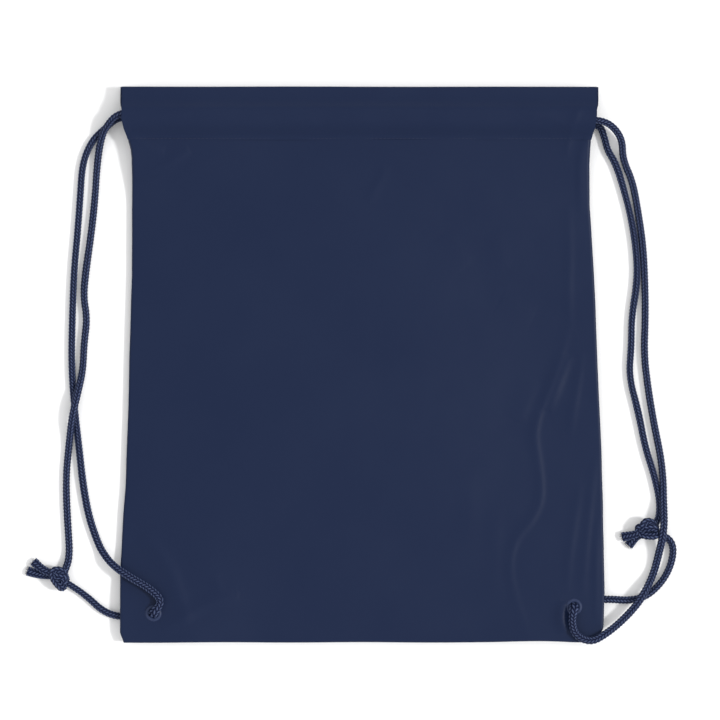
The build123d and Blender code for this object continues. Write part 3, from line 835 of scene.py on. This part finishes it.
def panel(side, layer):
    """Half of the front or back cloth, from the bottom seam to the hem."""
    shares = columns(PANEL_SPAN)
    height = HEM_Y - LOW_EDGE_Y
    rows = LOW_EDGE_Y + columns(height) * height
    y = np.tile(rows[:, None], (1, len(shares)))
    wander = undulation(np.zeros_like(y), y, 45.0, EDGE_SEED[side])
    x = SIDES[side] * (edge_distance(side, y) + 0.00025 * wander) * (1.0 - shares[None])
    y = y + edge_lift(x) * (1.0 - smooth_step(LOW_EDGE_Y, LOW_EDGE_Y + 0.03, y))
    z = front_height(side, x, y) if layer == "front" else back_height(side, x, y)
    points = np.stack([x, y, z], axis=2)
    middle = 0.5 * (points[:-1, :-1] + points[1:, 1:])
    hole_x, hole_y = EYELETS[side]
    keep = np.hypot(middle[..., 0] - hole_x, middle[..., 1] - hole_y) > EYELET_HOLE
    obj = cloth_object(f"{layer}_panel_{side}", points, LAYERS[layer], keep)
    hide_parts(f"{layer}_panel")
    return obj


# Sections of the casings as (y, z). The front's goes up the outside to the mouth and back down the
# inside; the back's goes up along the table and back down the inside.
FRONT_CASING = [
    (0.1640, 0.0127), (0.1665, 0.0132), (0.1695, 0.0150), (0.1730, 0.0171), (0.1765, 0.0184),
    (0.1805, 0.0190), (0.1842, 0.0192), (0.1872, 0.0187), (0.1902, 0.0168), (0.1934, 0.0152),
    (0.1968, 0.0144), (0.2000, 0.0140), (0.2023, 0.0138), (0.2028, 0.0133), (0.2023, 0.0128),
    (0.1988, 0.0125), (0.1900, 0.0123), (0.1800, 0.0122), (0.1700, 0.0122), (0.1645, 0.0121),
]
BACK_CASING = [
    (0.1640, 0.0004), (0.1700, 0.0003), (0.1800, 0.0003), (0.1900, 0.0003), (0.1990, 0.0004),
    (0.2028, 0.0007), (0.2034, 0.0013), (0.2030, 0.0019), (0.2005, 0.0022), (0.1970, 0.0024),
    (0.1930, 0.0028), (0.1902, 0.0044), (0.1872, 0.0066), (0.1840, 0.0070), (0.1816, 0.0069),
    (0.1786, 0.0068), (0.1758, 0.0069), (0.1728, 0.0064), (0.1700, 0.0042), (0.1675, 0.0022),
    (0.1645, 0.0012),
]
FRONT_OUTSIDE = 0.66         # the share of its section that is the front casing's outside


def casing(side, layer):
    """Half of a hem folded into the tunnel for the cords."""
    profile = FRONT_CASING if layer == "front" else BACK_CASING
    line, _ = spline_line([(0.0, y, z) for y, z in profile], 0.0008)
    shares = columns(CASING_SPAN)
    y = np.tile(line[:, 1][:, None], (1, len(shares)))
    z = np.tile(line[:, 2][:, None], (1, len(shares)))
    extra = BACK_PEEK * smooth_step(0.178, 0.194, y) if layer == "back" else 0.0
    x = SIDES[side] * (edge_distance(side, y) + extra) * (1.0 - shares[None])
    if layer == "front":
        outside = (np.arange(1, len(line) + 1) / len(line) < FRONT_OUTSIDE)[:, None]
        z = z + np.where(outside, fold_relief(x, y) + 0.00035 * undulation(x, y, 40.0, 5.5), 0.0)
    y = y + 0.0004 * undulation(x, np.zeros_like(x), 9.0, 2.0) * smooth_step(0.190, MOUTH_Y, y)
    points = np.stack([x, y, z], axis=2)
    middle = 0.5 * (points[:-1, :-1] + points[1:, 1:])
    in_tunnel = (middle[..., 1] > TUNNEL_Y[0]) & (middle[..., 1] < TUNNEL_Y[1])
    inner = middle[..., 2] < FRONT_INNER_Z if layer == "front" else middle[..., 2] > BACK_INNER_Z
    keep = ~((np.abs(middle[..., 0]) > NOTCH_X) & in_tunnel & inner)
    obj = cloth_object(f"{layer}_channel_{side}", points, LAYERS[layer], keep)
    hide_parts(f"{layer}_channel")
    return obj


def stitches(name, places):
    """A row of short threads along X, each an elongated bead sunk halfway into the cloth."""
    rings, segments = 7, 8
    points, faces = [], []
    for x, y, z in places:
        base = len(points)
        for along in np.linspace(0.0, math.pi, rings):
            at = x - 0.5 * STITCH_SHARE * STITCH_PITCH * math.cos(along)
            girth = max(0.00002, THREAD_RADIUS * math.sin(along) ** 0.6)
            for turn in np.arange(segments) * math.tau / segments:
                points.append((at, y + girth * math.cos(turn), z + girth * math.sin(turn)))
        for ring in range(rings - 1):
            for k in range(segments):
                n = (k + 1) % segments
                low, high = base + ring * segments, base + (ring + 1) * segments
                faces.append((low + k, low + n, high + n, high + k))
    obj = mesh_object(name, points, faces)
    obj.data.materials.append(THREAD_MATERIAL)
    return obj


def hem_stitching(side, layer):
    """The row of stitches that closes a casing."""
    y = HEM_Y + HEM_STITCH_RISE
    reach = float(edge_distance(side, y)) - 0.002
    xs = SIDES[side] * np.arange(0.5 * STITCH_PITCH, reach, STITCH_PITCH)
    heights = np.full_like(xs, BACK_HEM_Z)
    if layer == "front":
        heights = FRONT_HEM_Z + fold_relief(xs, np.full_like(xs, y))
    obj = stitches(f"{layer}_hem_stitching_{side}", [(x, y, z) for x, z in zip(xs, heights)])
    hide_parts(f"{layer}_channel_stitching")
    return obj


def seam_height(x, y):
    """Height of a seam allowance, between the panels."""
    return ALLOWANCE_Z - rim_sag("left" if x < 0.0 else "right", x, y)


def seam_strip(name, outer, inner):
    """A seam allowance: two raw plies pressed flat between the panels."""
    shares = np.linspace(0.0, 1.0, 9)
    points = np.zeros((len(outer), len(shares), 3))
    for k, share in enumerate(shares):
        points[:, k, :2] = outer * (1.0 - share) + inner * share
        x, y = points[:, k, 0], points[:, k, 1]
        ripple = 0.00010 * share * np.sin(400.0 * y + 300.0 * x)
        points[:, k, 2] = [seam_height(*place) for place in zip(x, y)] + ripple
    return cloth_object(name, points, 1.0)


def overlock(name, edge, inward):
    """Thread wrapped to and fro over a raw edge. inward points from the seam to the bag's middle."""
    route = []
    for index, place in enumerate(edge):
        lift, shift = (0.0004, 0.0020) if index % 2 else (-0.0003, -0.0003)
        x, y = place - shift * np.array(inward)
        route.append((x, y, seam_height(*place) + lift))
    line, along = spline_line(route, 0.0007)
    obj = tube(name, line, along, THREAD_RADIUS, 6)
    obj.data.materials.append(THREAD_MATERIAL)
    return obj


def side_seam(side):
    """A side's seam allowance and the thread on its raw edge."""
    sign = SIDES[side]
    low = BOTTOM_Y + SEAM_ALLOWANCE
    y = np.arange(low, SEAM_TOP_Y, SEAM_STEP)
    outer = np.stack([sign * (edge_distance(side, y) - SIDE_SEAM_INSET), y], axis=1)
    inner = outer - np.array([sign * (SEAM_ALLOWANCE - SIDE_SEAM_INSET), 0.0])
    strip = seam_strip(f"{side}_seam_allowance", outer, inner)
    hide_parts(f"{side}_side_seam")
    y = np.arange(low, SEAM_TOP_Y, OVERLOCK_STEP)
    edge = np.stack([sign * (edge_distance(side, y) - SEAM_ALLOWANCE), y], axis=1)
    thread = overlock(f"{side}_seam_overlock_thread", edge, (-sign, 0.0))
    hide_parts(f"{side}_seam_overlock")
    blend_cloth(strip)
    blend_cloth(thread)
    return strip, thread


def bottom_seam():
    """The bottom's seam allowance and the thread on its raw edge."""
    high = BOTTOM_Y + SEAM_ALLOWANCE
    x = np.arange(-0.170, 0.1701, SEAM_STEP)
    outer = np.stack([x, np.full_like(x, LOW_EDGE_Y + BOTTOM_SEAM_INSET)], axis=1)
    inner = np.stack([x, np.full_like(x, high)], axis=1)
    strip = seam_strip("bottom_seam_allowance", outer, inner)
    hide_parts("bottom_seam")
    x = np.arange(-0.163, 0.1631, OVERLOCK_STEP)
    edge = np.stack([x, np.full_like(x, high)], axis=1)
    thread = overlock("bottom_seam_overlock_thread", edge, (0.0, 1.0))
    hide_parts("bottom_seam_overlock")
    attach(strip, "bag")
    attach(thread, "bag")
    return strip, thread


def build_pouch():
    """Front and back cloth, casings, stitching and seams."""
    bottom = bottom_seam()
    for side in SIDES:
        seam = side_seam(side)
        for layer in LAYERS:
            cloth, hem, thread = panel(side, layer), casing(side, layer), hem_stitching(side, layer)
            for obj in (cloth, hem, thread):
                blend_cloth(obj)


def build_eyelets():
    """The eyelets' own CAD shapes, lacquered."""
    for side in EYELETS:
        for part in ("eyelet", "eyelet_washer"):
            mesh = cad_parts[f"{side}_{part}"].data
            mesh.materials.clear()
            mesh.materials.append(EYELET_MATERIAL)


build_stage()
build_cord("left", LEFT_KNOT_STRAND, LEFT_EYELET_STRAND, LEFT_RETURN, LEFT_TAILS)
build_cord("right", RIGHT_KNOT_STRAND, RIGHT_EYELET_STRAND, RIGHT_RETURN, RIGHT_TAILS)
channel_loop("left")
channel_loop("right")
build_pouch()
build_eyelets()
